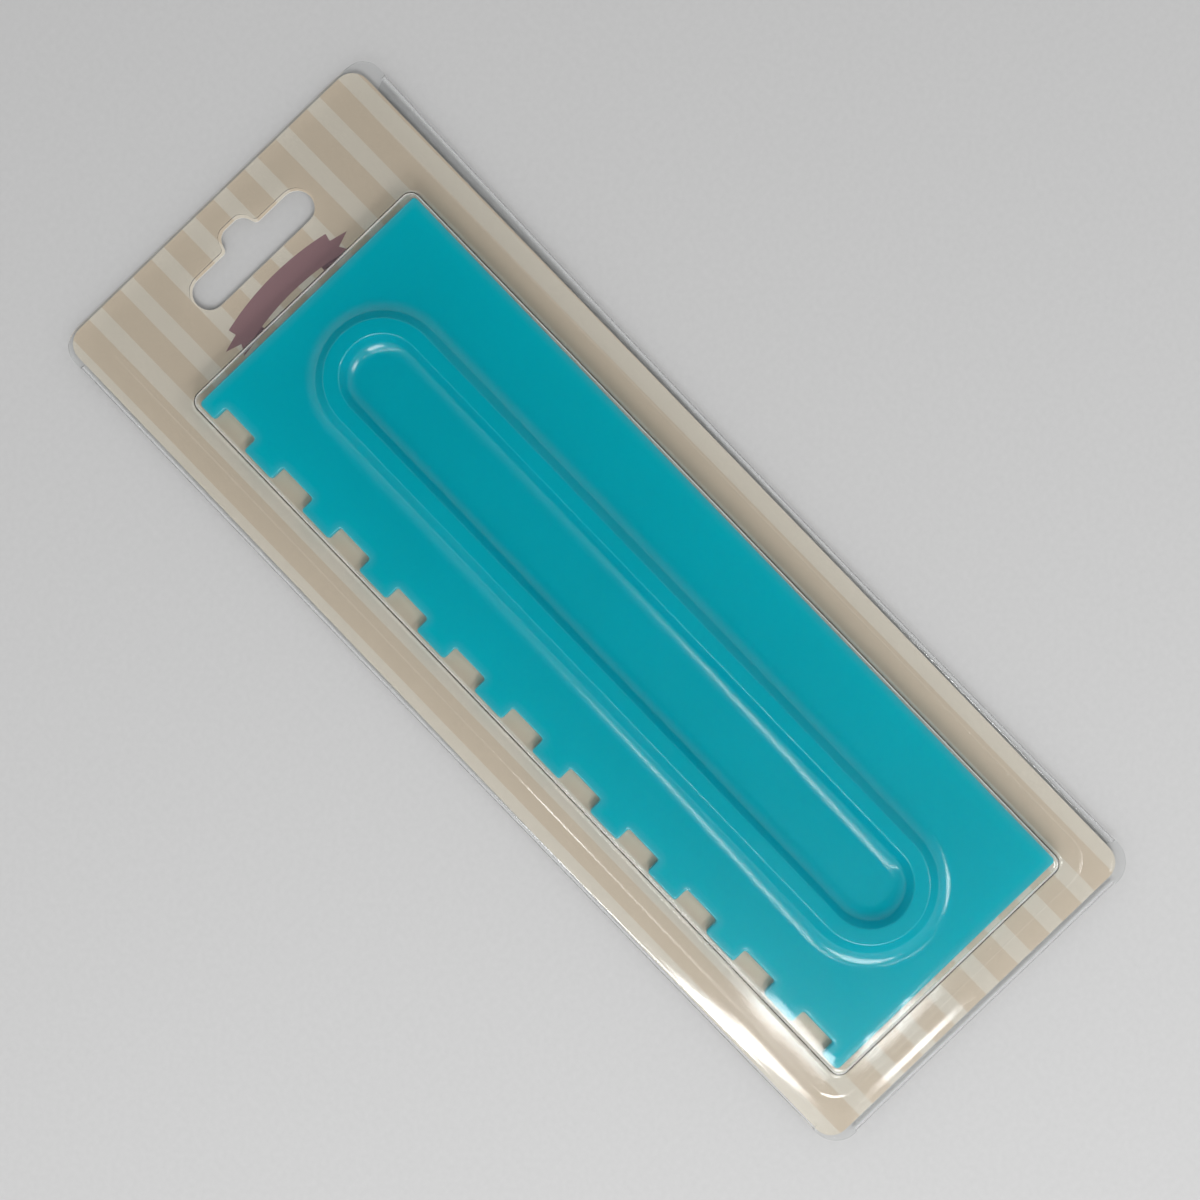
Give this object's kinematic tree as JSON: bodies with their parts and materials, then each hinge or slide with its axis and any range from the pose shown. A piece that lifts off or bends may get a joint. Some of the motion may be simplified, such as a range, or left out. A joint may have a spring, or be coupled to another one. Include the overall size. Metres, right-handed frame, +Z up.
{
  "type": "carded cake scraper",
  "caption": "Flat moulded cake scraper with a square-notched comb edge, a smoothing edge and a raised grip bead, in a clear slide blister with a striped hang card.",
  "frame": {"origin": "middle of the pack's plan, on the surface that the pack lies on", "axes": "+Z up out of the pocket, +Y along the pack to the hang slot, +X from the comb edge to the smoothing edge"},
  "size_m": [0.082, 0.2192, 0.0077],
  "materials": {
    "turquoise_plastic": "satin moulded polypropylene, a little translucent",
    "clear_film": "clear glossy thermoformed film",
    "printed_board": "coated paperboard printed with tan and cream stripes"
  },
  "bodies": {
    "blister": {"blister": "clear_film"},
    "card": {"backing_card": "printed_board"},
    "scraper": {"scraper": "turquoise_plastic"}
  },
  "joints": [
    {"name": "card_slide", "type": "slide", "parent": "blister", "child": "card", "axis": [0, 1, 0], "range_m": [0, 0.21]},
    {"name": "scraper_play", "type": "slide", "parent": "blister", "child": "scraper", "axis": [0, 1, 0], "range_m": [-0.0008, 0.0008]}
  ]
}
